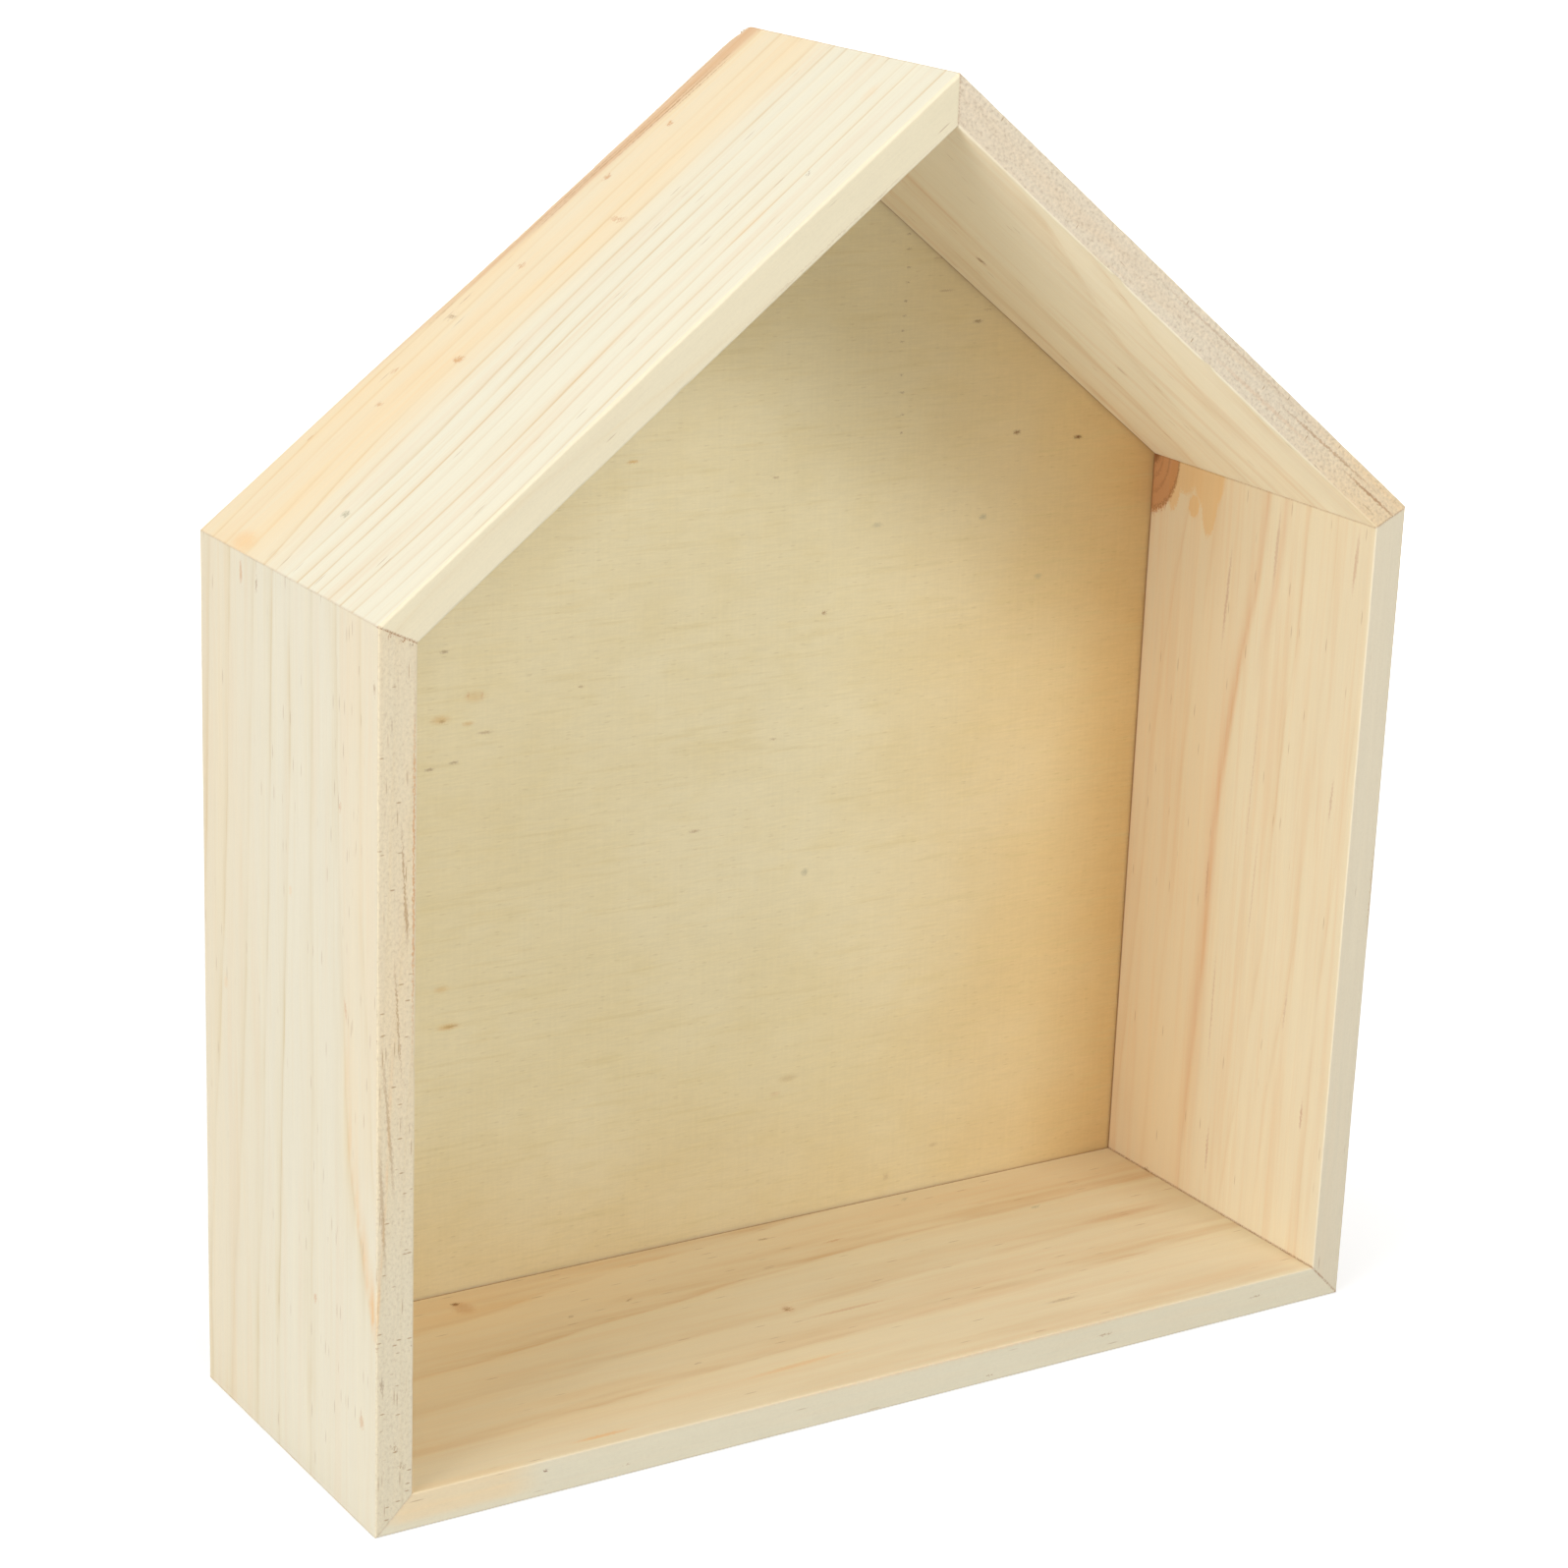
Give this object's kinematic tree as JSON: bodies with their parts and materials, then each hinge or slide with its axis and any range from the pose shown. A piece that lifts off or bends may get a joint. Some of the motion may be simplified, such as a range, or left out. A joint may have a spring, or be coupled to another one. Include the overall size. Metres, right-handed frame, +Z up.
{
  "type": "house-shaped wall shelf",
  "caption": "Shallow open-fronted shelf box with a pitched roof, made of mitred pine boards round a thin plywood back, with a sawtooth hanger behind the ridge.",
  "frame": {"origin": "middle of the underside, halfway across the boards' depth", "axes": "+X to the right seen from the open front, +Y towards the wall, +Z up"},
  "size_m": [0.3, 0.1024, 0.346],
  "materials": {
    "pine": "bare sanded softwood, matt, with knots, resin dashes and sawn edges",
    "plywood": "bare thin plywood, rotary-cut face veneer, matt",
    "staple_wire": "zinc-coated wire, dull",
    "hanger_steel": "thin pressed strip and nails, zinc and yellow passivated, satin"
  },
  "bodies": {
    "root": {"floor_board": "pine", "right_wall": "pine", "right_roof": "pine", "left_roof": "pine", "left_wall": "pine", "back_panel": "plywood", "panel_staples": "staple_wire", "corner_staples": "staple_wire", "ridge_hanger": "hanger_steel", "hanger_nails": "hanger_steel"}
  },
  "joints": []
}
